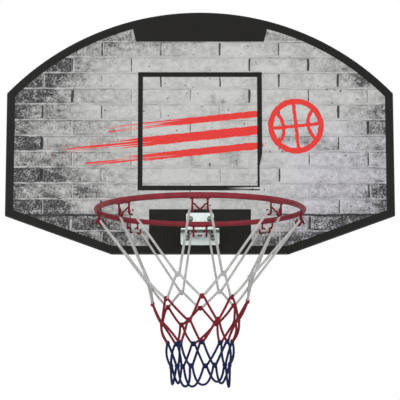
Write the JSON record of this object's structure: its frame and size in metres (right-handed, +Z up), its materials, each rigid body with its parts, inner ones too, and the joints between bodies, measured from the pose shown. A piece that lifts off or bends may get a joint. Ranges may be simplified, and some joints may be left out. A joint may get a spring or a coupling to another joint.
{
  "type": "basketball backboard",
  "caption": "Small wall-hung basketball backboard with an arched top, a printed face, a rod rim on folded plates and a knotted cord net.",
  "frame": {"origin": "on the wall plane, at the centre of the four keyhole entries of the hangers", "axes": "+Z up, +X to the viewer's right across the board, +Y into the wall; the rim reaches out along -Y"},
  "size_m": [0.71, 0.4181, 0.6892],
  "materials": {
    "fibreboard": "raw",
    "print": "satin print",
    "band": "satin",
    "zinc_sheet": "bright zinc",
    "zinc_fastener": "bright zinc",
    "rim_paint": "satin red",
    "cord_white": "braided cord",
    "cord_red": "braided cord",
    "cord_blue": "braided cord"
  },
  "bodies": {
    "board": {"board_panel": "fibreboard", "printed_sheet": "print", "edge_band": "band", "left_hanger": "zinc_sheet", "left_hanger_screws": "zinc_fastener", "right_hanger": "zinc_sheet", "right_hanger_screws": "zinc_fastener", "upper_plate": "zinc_sheet", "lower_plate": "zinc_sheet", "rim_ring": "rim_paint", "rim_weld": "rim_paint", "upper_plate_bolts": "zinc_fastener", "upper_washers": "zinc_fastener", "upper_nuts": "zinc_fastener", "lower_plate_bolts": "zinc_fastener", "lower_washers": "zinc_fastener", "lower_nuts": "zinc_fastener", "clamp_bolts": "zinc_fastener", "clamp_nuts": "zinc_fastener", "net_hook_1": "rim_paint", "net_hook_2": "rim_paint", "net_hook_3": "rim_paint", "net_hook_4": "rim_paint", "net_hook_5": "rim_paint", "net_hook_6": "rim_paint", "net_hook_7": "rim_paint", "net_hook_8": "rim_paint", "net_white": "cord_white"},
    "net_middle": {"net_red": "cord_red"},
    "net_bottom": {"net_blue": "cord_blue"}
  },
  "joints": [
    {"name": "net_front_sway", "type": "hinge", "parent": "board", "child": "net_middle", "pos_m": [0, -0.2456, -0.331], "axis": [1, 0, 0], "range_deg": [-10, 10], "deforming": ["net_white"]},
    {"name": "net_side_sway", "type": "hinge", "parent": "net_middle", "child": "net_bottom", "pos_m": [0, -0.2456, -0.396], "axis": [0, 1, 0], "range_deg": [-12, 12], "deforming": ["net_red"]}
  ]
}
